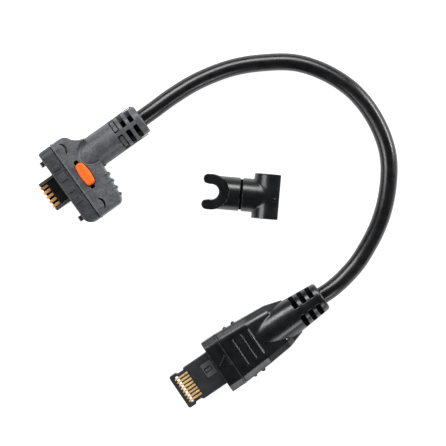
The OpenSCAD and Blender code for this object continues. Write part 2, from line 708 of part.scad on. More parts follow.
module clip_saddle() color([0.07, 0.07, 0.07]) at_clip() difference() {
    union() {
        stem(swivel_gap + rim, saddle_reach);
        translate([swivel_gap, 0, 0]) rotate([0, 90, 0])
            cylinder(h = rim, r1 = stem_d / 2 - rim, r2 = stem_d / 2);
        translate([saddle_reach, saddle_l / 2, 0]) rotate([90, 0, 0])
            cylinder(h = saddle_l, r = stem_d / 2);
    }
    // Bore and mouth of the saddle
    translate([saddle_reach, saddle_l, 0]) rotate([90, 0, 0])
        cylinder(h = 2 * saddle_l, r = saddle_bore_r);
    block([saddle_reach, -saddle_l, -saddle_slot / 2], [saddle_reach + stem_d, saddle_l, saddle_slot / 2]);
    block([saddle_reach + saddle_cut, -saddle_l, -stem_d], [saddle_reach + stem_d, saddle_l, stem_d]);
    // Swivel socket
    rotate([0, 90, 0]) {
        cylinder(h = neck_l, r = swivel_r + swivel_play);
        translate([0, 0, neck_l - 0.1]) cylinder(h = head_l - neck_l + 0.25, r = head_r + 0.1);
    }
}

front_shell();
rear_shell();
neck_sleeve();
tongue_frame();
contact_block();
tongue_contacts();
circuit_board();
release_button();
catch_yoke();
yoke_pins();
catch_spring();
tee_wires();
tee_crimp_ring();
cable();
plug_housing();
plug_contacts();
load_bar();
anchor_bar();
plug_wires();
boot_core();
boot_collar();
boot_body();
boot_crimp_ring();
clip_hook();
clip_saddle();
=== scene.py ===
"""Looks of a short adapter lead with its swivel cable clip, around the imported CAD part.

Shapes are distance fields in millimetres, each in the frame of its own assembly (x runs back
from the front face, z is up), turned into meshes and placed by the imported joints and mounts.
"""

import json
import math
from itertools import product

import bpy
import numpy as np
from mathutils import Matrix, Vector


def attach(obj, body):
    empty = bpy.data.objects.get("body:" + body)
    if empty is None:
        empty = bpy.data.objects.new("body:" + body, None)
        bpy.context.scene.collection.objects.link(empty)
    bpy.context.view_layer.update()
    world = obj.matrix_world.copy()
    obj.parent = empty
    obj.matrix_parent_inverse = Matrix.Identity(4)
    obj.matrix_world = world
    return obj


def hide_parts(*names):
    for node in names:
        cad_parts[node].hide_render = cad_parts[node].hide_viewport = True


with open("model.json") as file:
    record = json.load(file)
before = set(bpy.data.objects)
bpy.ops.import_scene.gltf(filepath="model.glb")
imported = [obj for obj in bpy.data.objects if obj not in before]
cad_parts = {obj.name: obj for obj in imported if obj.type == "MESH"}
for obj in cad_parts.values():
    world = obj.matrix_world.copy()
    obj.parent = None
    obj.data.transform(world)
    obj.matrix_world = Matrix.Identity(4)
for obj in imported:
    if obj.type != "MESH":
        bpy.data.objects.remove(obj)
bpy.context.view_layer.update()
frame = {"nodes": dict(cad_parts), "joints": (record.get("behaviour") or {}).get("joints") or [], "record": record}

MM = 0.001

# ---- Sizes in millimetres, as the CAD part has them ----

MID = 6.0                 # height of the connectors' axes
BODY_H = 12.0
CABLE_R = 2.5

# Tee plug
HALF_W = 12.45
WALL = 1.2
SEAM = 4.1
SEAM_GAP = 0.1
REAR_START = SEAM + SEAM_GAP
BAND = 6.1                # flat band behind the front face
SLOPE_DROP = 1.1
TEE_DEPTH = 13.3
REAR_DEPTH = 12.3
END_R = 2.5
NECK_Y = 3.8
NECK_R = 4.7
NECK_TIP_R = 4.4
NECK_END = 30.0
CABLE_START = 19.0
BUTTON_X = 7.4            # middle of the button's inner parts
CAP_X = 7.72              # middle of the button's cap
CAP_Y = -0.03
CAP_LOW = 10.2
BUTTON_HALF = 3.7
BUTTON_SLOT_LOW = 9.1
WINDOW_LOW = 9.5
HOOK_Y = 9.4
ARM_HALF = 0.8
PIVOT_X = 2.9             # axis that the yoke tips about
PIVOT_Z = 7.0
YOKE_PIN_R = 0.6
TONGUE_FRONT = -5.0
TONGUE_Y = 0.9
TONGUE_HALF = 4.55
TONGUE_LOW = 3.8
TONGUE_TOP = 8.2
TONGUE_PITCH = 1.5
STRIP_Z = 6.3
RIDGES = 4
RIDGE_START = -3.5
RIDGE_PITCH = 2.2
MARKS = 4                 # plain marks on the front band
MARK_START = 5.4
MARK_PITCH = 3.7
SCOOP_AT = (13.0, 4.0, 12.6)
SCOOP_R = 4.5
NECK_SLOTS = ((24.0, 25.4), (26.5, 27.9))
NECK_FLOOR = 2.7          # radius at the bottom of those slots
HOLLOW_BACK = 8.7
ROOF_LOW = 9.2            # underside of the thick roof around the button
JACKET_BORE = CABLE_R + 0.01
RING_BORE = CABLE_R + 0.42
WEB = 1.6                 # web between a strain relief's upper and lower pockets

# Flat plug and boot
PLUG_HALF = 5.3
PLUG_LOW = 3.4
PLUG_TOP = 8.6
PLUG_PITCH = 1.02
NOSE_BAR = 1.25
SLOT_BACK = 2.3
CONTACT_BACK = 5.3
CAVITY_HALF = 4.3
CAVITY_LOW = 4.5
CAVITY_TOP = 7.2
HOUSING_END = 16.0
ANCHOR_FRONT = 9.2
ANCHOR_BACK = 12.7
ANCHOR_Y = 0.95
ANCHOR_HALF = 2.15
COLLAR_FRONT = 13.0
COLLAR_HALF = 8.2
BOOT_FRONT = 17.75
WINGS_FALL = 26.6         # where the boot's flat top starts to fall
WINGS_END = 38.9
CORNER_W = 2.1            # corners cut off the boot, across and down
CORNER_H = 1.4
CORE_HALF = 5.2
CORE_END = 30.0
CABLE_FINISH = 38.0
BOOT_END = 49.3
RIB_PLACES = (20.9, 23.7, 26.4)
RIB_HALF = 4.2
BOOT_FLOOR = 3.05         # radius at the bottom of the boot's slots
BOOT_SLOTS = ((40.6, 42.0), (43.3, 44.7), (45.9, 47.3))

# Clip, with its own axis at height 0
STEM_R = 4.8
SWIVEL_GAP = 0.35
HOOK_X = -8.5
HOOK_R = 5.1
HOOK_BORE = 2.2
HOOK_PLATE = 2.8
SADDLE_X = 8.25
SADDLE_HALF = 6.45
SADDLE_BORE = 3.2
SADDLE_CUT = 11.0
SWIVEL_PIN_R = 2.0
SWIVEL_HEAD_R = 2.5
DISC_R = 4.35

# ---- Frames of the three assemblies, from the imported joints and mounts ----

joints = {j["name"]: j for j in frame["joints"]}
mounts = {m["name"]: m for m in frame["record"]["mounts"]}
UP = Vector((0, 0, 1))


def placed(origin, ahead):
    """Matrix from millimetres in an assembly's frame to metres on the table."""
    x = Vector(ahead).normalized()
    turn = Matrix((x, UP.cross(x), UP)).transposed().to_4x4()
    return Matrix.Translation(origin) @ turn @ Matrix.Scale(MM, 4)


def on_table(point):
    return Vector((point[0], point[1], 0))


hinge = joints["catch_tilt"]
tee_ahead = Vector(hinge["axis"]).cross(UP)
AT_TEE = placed(on_table(hinge["pos_m"]) - tee_ahead * PIVOT_X * MM, tee_ahead)
nose = mounts["flat_plug_nose"]
AT_PLUG = placed(on_table(nose["pos_m"]), -Vector(nose["axis"]))
swivel = joints["clip_turn"]
AT_CLIP = placed(Vector(swivel["pos_m"]), swivel["axis"])

# ---- Camera, straight above the table ----

VIEW_CENTRE = (10.7, 9.5)
VIEW_WIDTH = 127.4        # what the picture spans at the height of the connectors' axes
LENS = 200.0
SENSOR = 36.0

camera = bpy.data.objects.new("camera", bpy.data.cameras.new("camera"))
bpy.context.scene.collection.objects.link(camera)
camera.data.lens = LENS
camera.data.sensor_width = SENSOR
camera.location = (VIEW_CENTRE[0] * MM, VIEW_CENTRE[1] * MM,
                   (VIEW_WIDTH * LENS / SENSOR + MID) * MM)
camera.data.clip_start = 0.01
camera.data.clip_end = 10
bpy.context.scene.camera = camera

# ---- Procedural materials ----


def srgb(red, green, blue):
    """Linear colour of an 8-bit display colour."""
    parts = [c / 255 for c in (red, green, blue)]
    return [c / 12.92 if c <= 0.04045 else ((c + 0.055) / 1.055) ** 2.4 for c in parts] + [1]


def shader(name):
    """New material, its nodes and its links, with noise coordinates that move with the piece."""
    material = bpy.data.materials.new(name)
    material.use_nodes = True
    nodes, links = material.node_tree.nodes, material.node_tree.links
    place = nodes.new("ShaderNodeTexCoord").outputs["Object"]
    return material, nodes, links, nodes["Principled BSDF"], place


def noise(nodes, links, place, size, detail=2.0, stretch=(1, 1, 1)):
    """Noise whose grains are size millimetres across."""
    mapping = nodes.new("ShaderNodeMapping")
    mapping.inputs["Scale"].default_value = [s / (size * MM) for s in stretch]
    texture = nodes.new("ShaderNodeTexNoise")
    texture.inputs["Scale"].default_value = 1.0
    texture.inputs["Detail"].default_value = detail
    links.new(place, mapping.inputs["Vector"])
    links.new(mapping.outputs["Vector"], texture.inputs["Vector"])
    return texture.outputs["Fac"]


def spread(nodes, links, value, low, high, start=0.35, end=0.65):
    """Value mapped from start..end to low..high."""
    node = nodes.new("ShaderNodeMapRange")
    for socket, number in (("From Min", start), ("From Max", end), ("To Min", low), ("To Max", high)):
        node.inputs[socket].default_value = number
    links.new(value, node.inputs["Value"])
    return node.outputs["Result"]


def two_tone(nodes, links, value, dark, light):
    """Colour that runs from dark to light as value goes from low to high."""
    ramp = nodes.new("ShaderNodeValToRGB")
    ramp.color_ramp.elements[0].position = 0.3
    ramp.color_ramp.elements[0].color = dark
    ramp.color_ramp.elements[1].position = 0.7
    ramp.color_ramp.elements[1].color = light
    links.new(value, ramp.inputs["Fac"])
    return ramp.outputs["Color"]


def relief(nodes, links, heights, bsdf):
    """Bump chain from (height, depth in millimetres) pairs into the shader's normal."""
    normal = None
    for height, depth in heights:
        bump = nodes.new("ShaderNodeBump")
        bump.inputs["Strength"].default_value = 1.0
        bump.inputs["Distance"].default_value = depth * MM
        links.new(height, bump.inputs["Height"])
        if normal:
            links.new(normal, bump.inputs["Normal"])
        normal = bump.outputs["Normal"]
    links.new(normal, bsdf.inputs["Normal"])


def moulded(name, dark, light, rough, grain=0.22, depth=0.012, specular=0.5):
    """Moulded plastic or rubber: spark-eroded grain, faint clouding and uneven gloss."""
    material, nodes, links, bsdf, place = shader(name)
    clouds = noise(nodes, links, place, 2.6, 4)
    fine = noise(nodes, links, place, grain, 3)
    mottle = nodes.new("ShaderNodeMath")
    mottle.operation = "MULTIPLY_ADD"
    mottle.inputs[1].default_value = 0.7
    links.new(fine, mottle.inputs[0])
    soft = nodes.new("ShaderNodeMath")
    soft.operation = "MULTIPLY"
    soft.inputs[1].default_value = 0.3
    links.new(clouds, soft.inputs[0])
    links.new(soft.outputs[0], mottle.inputs[2])
    links.new(two_tone(nodes, links, mottle.outputs[0], dark, light), bsdf.inputs["Base Color"])
    links.new(spread(nodes, links, clouds, rough[0], rough[1]), bsdf.inputs["Roughness"])
    relief(nodes, links, [(fine, depth), (clouds, depth * 1.5)], bsdf)
    bsdf.inputs["Specular IOR Level"].default_value = specular
    return material


def metal(name, dark, light, rough, grain=0.5, stretch=(1, 1, 1), depth=0.004, share=1.0):
    """Plated or stamped metal with rolling marks."""
    material, nodes, links, bsdf, place = shader(name)
    marks = noise(nodes, links, place, grain, 3, stretch)
    links.new(two_tone(nodes, links, marks, dark, light), bsdf.inputs["Base Color"])
    links.new(spread(nodes, links, marks, rough[0], rough[1]), bsdf.inputs["Roughness"])
    relief(nodes, links, [(marks, depth)], bsdf)
    bsdf.inputs["Metallic"].default_value = share
    return material


def clear(name, tint):
    """Clear moulded plastic."""
    material, nodes, links, bsdf, place = shader(name)
    clouds = noise(nodes, links, place, 1.5, 2)
    links.new(two_tone(nodes, links, clouds, tint, srgb(240, 242, 244)), bsdf.inputs["Base Color"])
    links.new(spread(nodes, links, clouds, 0.08, 0.2), bsdf.inputs["Roughness"])
    bsdf.inputs["Transmission Weight"].default_value = 0.8
    return material


SHELL = moulded("shell_grey", srgb(46, 48, 51), srgb(82, 84, 88), (0.42, 0.54), 0.7, 0.05)
# Darker copy of the shell grey for the front shell: painted shade on the flat front band, which gets less light
# than the slope behind it
PAINTED_SHADE_SHELL_GREY = moulded("shell_grey_painted_shade", srgb(26, 28, 31), srgb(48, 50, 54), (0.42, 0.54), 0.7, 0.05)
NECK = moulded("neck_grey", srgb(48, 49, 53), srgb(78, 79, 83), (0.4, 0.52), 0.7, 0.04)
TONGUE = moulded("tongue_grey", srgb(34, 35, 38), srgb(53, 54, 57), (0.45, 0.55), 0.6, 0.03)
# Near-black, dull material that paints shade onto faces in hidden places
PAINTED_SHADE_BLACK = moulded("painted_shade_black", srgb(2, 2, 3), srgb(5, 5, 6), (0.8, 0.9), 0.5, 0.01, 0.05)
INSERT = moulded("insert_black", srgb(4, 4, 5), srgb(10, 10, 12), (0.3, 0.4), 0.2, 0.006, 0.3)
ORANGE = moulded("button_orange", srgb(216, 80, 8), srgb(238, 102, 16), (0.42, 0.5), 0.5, 0.01, 0.35)
CABLE_BLACK = moulded("cable_black", srgb(5, 5, 7), srgb(11, 11, 13), (0.26, 0.34), 0.35, 0.006)
PLUG_BLACK = moulded("plug_black", srgb(28, 29, 32), srgb(42, 43, 46), (0.34, 0.44), 0.3, 0.01)
BOOT_BLACK = moulded("boot_black", srgb(7, 8, 10), srgb(14, 15, 18), (0.25, 0.33), 0.3, 0.01)
CLIP_BLACK = moulded("clip_black", srgb(8, 9, 10), srgb(15, 16, 18), (0.25, 0.33), 0.34, 0.012)
ANCHOR = moulded("anchor_grey", srgb(58, 59, 62), srgb(78, 79, 82), (0.36, 0.46), 0.2, 0.006)
CORE = moulded("core_natural", srgb(196, 192, 176), srgb(214, 210, 196), (0.45, 0.55), 0.3, 0.006)
BOARD = moulded("board_green", srgb(18, 66, 42), srgb(28, 88, 56), (0.3, 0.4), 0.6, 0.004)
GOLD = metal("contact_gold", srgb(222, 172, 104), srgb(255, 222, 158), (0.3, 0.45), 0.4, (0.3, 1, 1),
             share=0.55)
BRONZE = metal("tongue_gold", srgb(176, 128, 74), srgb(214, 166, 106), (0.35, 0.5), 0.4, (0.3, 1, 1),
               share=0.55)
WIRE = moulded("wire_coat", srgb(176, 88, 40), srgb(226, 222, 210), (0.35, 0.45), 0.4, 0.004)
STEEL = metal("catch_steel", srgb(96, 92, 86), srgb(168, 162, 152), (0.28, 0.5), 0.3)
BRIGHT = metal("bright_steel", srgb(176, 178, 182), srgb(214, 216, 220), (0.16, 0.28), 0.3)
ALUMINIUM = metal("ring_aluminium", srgb(178, 180, 184), srgb(208, 210, 214), (0.3, 0.42), 0.3)
CLEAR = clear("bar_clear", srgb(206, 212, 214))

# ---- Distance fields ----


def length(*parts):
    return np.sqrt(sum(part * part for part in parts))


def both(a, b, r=0.0):
    """What lies in both, with an edge rounded by r."""
    if r == 0:
        return np.maximum(a, b)
    corner = length(np.maximum(a + r, 0), np.maximum(b + r, 0))
    return np.minimum(np.maximum(a, b), -r) + corner


def joined(a, b, r=0.0):
    """What lies in either, with a fillet of r between them."""
    return -both(-a, -b, r)


def cut(a, b, r=0.0):
    """What is left of a without b, with an edge rounded by r."""
    return both(a, -b, r)


def slab(v, low, high):
    return np.abs(v - (low + high) / 2) - (high - low) / 2


def box(x, y, z, low, high, r=0.0):
    """Box from corner to corner with its edges rounded by r."""
    plan = both(slab(x, low[0], high[0]), slab(y, low[1], high[1]), r)
    return both(plan, slab(z, low[2], high[2]), r)


def rod(along, low, high, across, up, radius, r=0.0):
    """Round bar: along is the coordinate down its axis, across and up run from the axis."""
    return both(length(across, up) - radius, slab(along, low, high), r)


def outline(u, v, points):
    """Distance in the plane to a closed outline."""
    nearest, inside = np.inf, False
    for (au, av), (bu, bv) in zip(points, points[1:] + points[:1]):
        run, rise = bu - au, bv - av
        pu, pv = u - au, v - av
        t = np.clip((pu * run + pv * rise) / (run * run + rise * rise), 0, 1)
        nearest = np.minimum(nearest, length(pu - run * t, pv - rise * t))
        left = (pu * rise < pv * run) == (rise > 0)
        inside = inside ^ (((av > v) != (bv > v)) & left)
    return np.where(inside, -nearest, nearest)


def arc(cu, cv, r, start, end, steps):
    turns = [math.radians(start + (end - start) * i / steps) for i in range(steps + 1)]
    return [(cu + r * math.cos(a), cv + r * math.sin(a)) for a in turns]


# ---- From a field to a mesh ----

SMOOTH_WITHIN = math.cos(math.radians(32))


def slope(field, p, step):
    """Gradient of the field at points p."""
    parts = []
    for axis in range(3):
        shift = np.zeros(3)
        shift[axis] = step
        parts.append(field(*(p + shift).T) - field(*(p - shift).T))
    return np.stack(parts, 1) / (2 * step)


def unit(v):
    return v / np.maximum(length(*v.T), 1e-9)[:, None]


def surface_net(field, low, high, cell):
    """Vertices on the field's zero surface and the quads between them."""
    axes = [np.arange(a - 2.3 * cell, b + 3 * cell, cell) for a, b in zip(low, high)]
    x, y, z = np.meshgrid(*axes, indexing="ij", sparse=True)
    shape = tuple(len(a) for a in axes)
    values = np.broadcast_to(field(x, y, z), shape)
    inside = values < 0
    cells = tuple(n - 1 for n in shape)
    corners = list(product((0, 1), repeat=3))
    windows = [tuple(slice(c, c + n) for c, n in zip(corner, cells)) for corner in corners]
    count = sum(inside[w].astype(np.int8) for w in windows)
    active = (count > 0) & (count < 8)
    at = np.argwhere(active)
    total, crossings = np.zeros((len(at), 3)), np.zeros(len(at))
    for a, b in product(corners, repeat=2):
        if sum(b) - sum(a) != 1 or any(q < p for p, q in zip(a, b)):
            continue
        va = values[tuple((at + a).T)]
        vb = values[tuple((at + b).T)]
        crossed = (va < 0) != (vb < 0)
        t = np.where(crossed, va / np.where(crossed, va - vb, 1), 0)
        total += crossed[:, None] * (np.array(a) + t[:, None] * (np.array(b) - a))
        crossings += crossed
    origin = np.array([a[0] for a in axes])
    vertices = origin + (at + total / crossings[:, None]) * cell
    index = np.full(cells, -1)
    index[active] = np.arange(len(at))
    quads = []
    for axis in range(3):
        one, two = (axis + 1) % 3, (axis + 2) % 3
        low_end = [slice(1, n - 1) for n in shape]
        high_end = list(low_end)
        low_end[axis], high_end[axis] = slice(0, shape[axis] - 1), slice(1, shape[axis])
        start_in, end_in = inside[tuple(low_end)], inside[tuple(high_end)]
        for leaves, order in ((start_in & ~end_in, 1), (~start_in & end_in, -1)):
            edge = np.argwhere(leaves)
            edge[:, one] += 1
            edge[:, two] += 1
            ring = []
            for back_one, back_two in ((1, 1), (0, 1), (0, 0), (1, 0)):
                cell_at = edge.copy()
                cell_at[:, one] -= back_one
                cell_at[:, two] -= back_two
                ring.append(index[tuple(cell_at.T)])
            quads.append(np.stack(ring, 1)[:, ::order])
    return vertices, np.concatenate(quads)


def mesh_of(name, vertices, faces):
    mesh = bpy.data.meshes.new(name)
    sides = faces.shape[1]
    mesh.vertices.add(len(vertices))
    mesh.vertices.foreach_set("co", vertices.astype(np.float32).ravel())
    mesh.loops.add(faces.size)
    mesh.loops.foreach_set("vertex_index", faces.astype(np.int32).ravel())
    mesh.polygons.add(len(faces))
    mesh.polygons.foreach_set("loop_start", np.arange(0, faces.size, sides, dtype=np.int32))
    mesh.update(calc_edges=True)
    return mesh


def thinned(mesh, keep):
    """The mesh with flat stretches made of fewer triangles."""
    holder = bpy.data.objects.new("holder", mesh)
    bpy.context.scene.collection.objects.link(holder)
    holder.modifiers.new("triangles", "TRIANGULATE")
    holder.modifiers.new("thin", "DECIMATE").ratio = keep
    evaluated = holder.evaluated_get(bpy.context.evaluated_depsgraph_get())
    result = bpy.data.meshes.new_from_object(evaluated)
    bpy.data.objects.remove(holder)
    return result


def smooth_normals(mesh, field, step, turn):
    """Normals from the field, or the face's own where the two differ, as at a sharp edge."""
    points = np.empty(len(mesh.vertices) * 3, np.float32)
    mesh.vertices.foreach_get("co", points)
    points = points.reshape(-1, 3)
    corners = np.empty(len(mesh.loops), np.int32)
    mesh.loops.foreach_get("vertex_index", corners)
    triangles = corners.reshape(-1, 3)
    a, b, c = (points[triangles[:, i]] for i in range(3))
    flat = np.repeat(unit(np.cross(b - a, c - a)), 3, axis=0)
    soft = unit(slope(field, points.astype(float), step))[corners]
    agree = (flat * soft).sum(1) > SMOOTH_WITHIN
    normals = np.where(agree[:, None], soft, flat)
    return normals @ np.array(turn.to_3x3().normalized()).T


def piece(name, field, low, high, material, at, body="root", cell=0.14, keep=0.3):
    """The field's surface between two corners as a piece that stands for the node of its name."""
    vertices, quads = surface_net(field, low, high, cell)
    for _ in range(3):
        g = slope(field, vertices, cell * 0.1)
        step = field(*vertices.T)[:, None] * g / np.maximum((g * g).sum(1), 0.2)[:, None]
        vertices = vertices - np.clip(step, -cell / 2, cell / 2)
    mesh = thinned(mesh_of(name, vertices, quads), keep)
    normals = smooth_normals(mesh, field, cell * 0.25, at)
    mesh.transform(at)
    mesh.shade_smooth()
    mesh.normals_split_custom_set(normals.tolist())
    mesh.materials.append(material)
    thing = bpy.data.objects.new(name + "_skin", mesh)
    bpy.context.scene.collection.objects.link(thing)
    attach(thing, body)
    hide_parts(name)
    return thing


# ---- Tee plug ----

NECK_EDGE = NECK_Y + NECK_R
TEE_OUTLINE = (
    arc(0.9, HALF_W - 0.9, 0.9, 180, 90, 5)
    + arc(BUTTON_X - 0.4, HALF_W - 3.4, 3.4, 90, 40, 8)
    + arc(TEE_DEPTH + 0.7, NECK_EDGE + 5, 5, 220, 262, 8)
    + [(TEE_DEPTH, NECK_EDGE), (TEE_DEPTH, NECK_Y - NECK_R)]
    + [(TEE_DEPTH - 0.2, NECK_Y - NECK_R - 0.4)]
    + arc(REAR_DEPTH - 1.9, 1.9 - HALF_W, 1.9, 0, -90, 6)
    + arc(2.4, 2.4 - HALF_W, 2.4, 270, 180, 6)
)
FALL = SLOPE_DROP / (TEE_DEPTH - BAND)


def crossbar(x, y, z):
    """The plug's body: its plan, its sloping top and bottom, and its round ends."""
    drop = np.maximum(x - BAND, 0) * FALL
    side = np.abs(z - MID) - (BODY_H / 2 - drop)
    ends = both(slab(y, -HALF_W, HALF_W), slab(z, 0, BODY_H), END_R)
    return both(both(outline(x, y, TEE_OUTLINE), side, 0.4), ends)


def front_shell(x, y, z):
    shell = both(crossbar(x, y, z), x - SEAM + 0.12, 0.1)
    hollow = box(x, y, z, (WALL, WALL - HALF_W, WALL),
                 (SEAM + 1, HALF_W - WALL, BODY_H - WALL), 0.2)
    shell = cut(shell, hollow)
    room = 0.03
    tongue = box(x, y, z, (-1, TONGUE_Y - TONGUE_HALF - room, TONGUE_LOW - room),
                 (WALL + 1, TONGUE_Y + TONGUE_HALF + room, TONGUE_TOP + room))
    shell = cut(shell, tongue, 0.1)
    for side in (-1, 1):
        middle = side * HOOK_Y
        hook = box(x, y, z, (-1, middle - 0.95, MID), (WALL + 1, middle + 0.95, MID + 2.9))
        shell = cut(shell, hook, 0.1)
        inner = side * (HOOK_Y - 1.7)
        boss = box(x, y, z, (WALL - 0.1, inner - 0.4, PIVOT_Z - 1.4),
                   (SEAM - 0.1, inner + 0.4, PIVOT_Z + 1.4))
        shell = joined(shell, boss)
        pin_y, pin_half = side * 9.6, 2.4
        pin = rod(y, pin_y - pin_half, pin_y + pin_half, x - PIVOT_X, z - PIVOT_Z, YOKE_PIN_R + 0.02)
        shell = cut(shell, pin)
    for i in range(MARKS):
        width = 1.1 if i % 2 == 0 else 2.2
        start = MARK_START - MARK_PITCH * i
        mark = box(x, y, z, (0.9, start, BODY_H - 0.5), (3.1, start + width, BODY_H + 0.35), 0.15)
        shell = joined(shell, mark, 0.06)
    return shell


def button_plan(x, y, half, grow):
    """Barrel-shaped plan with rounded ends."""
    front_r, back_r, width = 13.0, 12.0, 1.6
    front = length(x - CAP_X - (front_r - width), y - CAP_Y) - front_r
    back = length(x - CAP_X + (back_r - width), y - CAP_Y) - back_r
    sides = both(front, back, 0.8)
    return both(sides - grow, slab(y, CAP_Y - half, CAP_Y + half), 0.9)


def thumb_scoop(x, y, z):
    """Round recess before the neck, with the neck's own roundness for its floor."""
    u, v, w = SCOOP_AT
    bowl = length(x - u, y - v, z - w) - SCOOP_R
    return both(bowl, NECK_R - length(y - NECK_Y, z - MID), 0.3)


def crescent(x, y, centre):
    """Window shaped like a new moon that bulges towards the cable."""
    outer = length(x - 5.8, y - centre) - 2.0
    inner = length(x - 4.25, y - centre) - 2.9
    return cut(outer, inner)


def rear_shell(x, y, z):
    bar = crossbar(x, y, z)
    shell = both(bar, REAR_START - x, 0.12)
    # Thin lip along the seam, with a slanted top
    rise = (z - BODY_H) * 0.87 - (x - REAR_START) * 0.5
    lip = both(bar - 0.22, slab(x, REAR_START, REAR_START + 0.55), 0.08)
    shell = joined(shell, both(both(lip, rise), MID - z))
    # Hollow: low under the button, high on both sides of it, and a passage back to the neck
    inner, high_roof = HALF_W - WALL, BODY_H - WALL
    for low, high, roof in ((-inner, inner, ROOF_LOW), (-inner, 4.2, high_roof),
                            (8.4, inner, high_roof)):
        shell = cut(shell, box(x, y, z, (SEAM - 1, low, WALL), (HOLLOW_BACK, high, roof), 0.2))
    shell = cut(shell, box(x, y, z, (8.5, WALL + 1 - HALF_W, 2.4), (11, 7.2, 8.8), 0.2))
    shell = cut(shell, rod(x, 10.9, TEE_DEPTH + 2, y - NECK_Y, z - MID, 3.03))
    slot = both(button_plan(x, y, BUTTON_HALF + 0.12, 0.12), BUTTON_SLOT_LOW - z)
    shell = cut(shell, slot, 0.1)
    notch = box(x, y, z, (6.85, CAP_Y - 4.65, WINDOW_LOW), (8.15, CAP_Y + 4.65, BODY_H + 1), 0.45)
    shell = cut(shell, notch, 0.08)
    for side in (-1, 1):
        shell = cut(shell, both(crescent(x, y, side * HOOK_Y), WINDOW_LOW - z), 0.06)
    shell = cut(shell, thumb_scoop(x, y, z), 0.1)
    for i in range(RIDGES):
        back, across = TEE_DEPTH - 0.25 - 0.2 * i, RIDGE_START - RIDGE_PITCH * i
        ridge = rod(z, 2.2, BODY_H - 2.2, x - back, y - across, 0.5, 0.2)
        tail = rod(x, back - 1.5, back + 0.1, y - across, z - BODY_H + 1.35, 0.42, 0.2)
        shell = joined(joined(shell, ridge, 0.25), tail, 0.2)
    post = rod(z, WALL - 0.1, WALL + 1.4, x - BUTTON_X - 0.2, y, 0.7, 0.1)
    return joined(shell, post)


def pockets(x, across, up, start, end, spine):
    """Four pockets of a strain relief, with a spine above and below and a web on each side."""
    lane = both(slab(x, start, end), spine - np.abs(across), 0.25)
    return both(lane, WEB / 2 - np.abs(up), 0.25)


def neck_sleeve(x, y, z):
    across, up = y - NECK_Y, z - MID
    out = length(across, up)
    radius = np.interp(x, [20, NECK_END - 0.7], [NECK_R, NECK_TIP_R])
    sleeve = both(out - radius, slab(x, TEE_DEPTH, NECK_END), 0.6)
    foot = rod(x, TEE_DEPTH - 0.01, TEE_DEPTH + 2, across, up, NECK_R)
    plug = rod(x, 10.95, TEE_DEPTH + 1, across, up, 3.0)
    sleeve = joined(joined(sleeve, foot), plug)
    sleeve = cut(sleeve, rod(x, 10, 15.1, across, up, 2.3))
    sleeve = cut(sleeve, rod(x, 15, NECK_END + 1, across, up, JACKET_BORE), 0.12)
    sleeve = cut(sleeve, rod(x, CABLE_START, CABLE_START + 2.9, across, up, RING_BORE))
    # Shallow first slots, each with an island left standing in it
    first = pockets(x, across, up, 21.2, 22.9, 0.6)
    island = pockets(x, across, up, 21.5, 22.6, 0.95)
    sleeve = cut(sleeve, both(first, NECK_R - 0.5 - out), 0.06)
    sleeve = cut(sleeve, both(cut(first, island), NECK_R - 1.3 - out), 0.06)
    for start, end in NECK_SLOTS:
        pocket = pockets(x, across, up, start, end, 0.6)
        sleeve = cut(sleeve, both(pocket, NECK_FLOOR - out), 0.08)
    # Mould flash at the foot, the mould's parting line along both sides, and a nib at the tip
    flash = box(x, across, up, (13.4, -NECK_R - 0.35, -0.8), (14.1, 0.5 - NECK_R, 0.8), 0.25)
    sleeve = joined(sleeve, flash, 0.15)
    parting = length(np.abs(across) - NECK_R + 0.02, up) - 0.12
    sleeve = joined(sleeve, both(parting, slab(x, TEE_DEPTH, NECK_END - 1)), 0.1)
    nib = box(x, across, up, (28.7, NECK_TIP_R - 0.7, -0.4), (29.4, NECK_TIP_R + 0.3, 0.4), 0.2)
    return joined(sleeve, nib, 0.1)


def tongue_frame(x, y, z):
    tray = box(x, y, z, (TONGUE_FRONT, TONGUE_Y - TONGUE_HALF, TONGUE_LOW),
               (2.4, TONGUE_Y + TONGUE_HALF, TONGUE_TOP), 0.22)
    inside = TONGUE_HALF - 0.9
    hollow = box(x, y, z, (TONGUE_FRONT - 1, TONGUE_Y - inside, TONGUE_LOW + 1),
                 (3, TONGUE_Y + inside, TONGUE_TOP + 1), 0.1)
    return cut(tray, hollow, 0.12)


def tongue_lanes(y):
    """Distance across from the nearest of the tongue's five contacts."""
    lane = np.clip(np.round((y - TONGUE_Y) / TONGUE_PITCH), -2, 2)
    return y - TONGUE_Y - lane * TONGUE_PITCH


def contact_block(x, y, z):
    half = TONGUE_HALF - 0.94
    low = box(x, y, z, (TONGUE_FRONT + 0.1, TONGUE_Y - half, TONGUE_LOW + 1.03),
              (3.4, TONGUE_Y + half, STRIP_Z), 0.1)
    high = box(x, y, z, (-2.9, TONGUE_Y - half, TONGUE_LOW + 1.2),
               (3.4, TONGUE_Y + half, TONGUE_TOP - 0.4), 0.12)
    groove = box(x, tongue_lanes(y), z, (-3.2, -0.47, STRIP_Z - 0.02), (4, 0.47, 6.72))
    return cut(joined(low, high), groove)


def tongue_contacts(x, y, z):
    lane = tongue_lanes(y)
    low, half = STRIP_Z + 0.01, 0.42
    strip = box(x, lane, z, (TONGUE_FRONT + 0.1, -0.4, low), (4.9, 0.4, STRIP_Z + 0.35), 0.08)
    pad = box(x, lane, z, (TONGUE_FRONT, -half, low), (-2.95, half, STRIP_Z + 0.75), 0.1)
    tip = rod(lane, -half, half, x - TONGUE_FRONT, z - STRIP_Z - 0.385, 0.36, 0.12)
    return joined(joined(strip, pad), tip, 0.1)


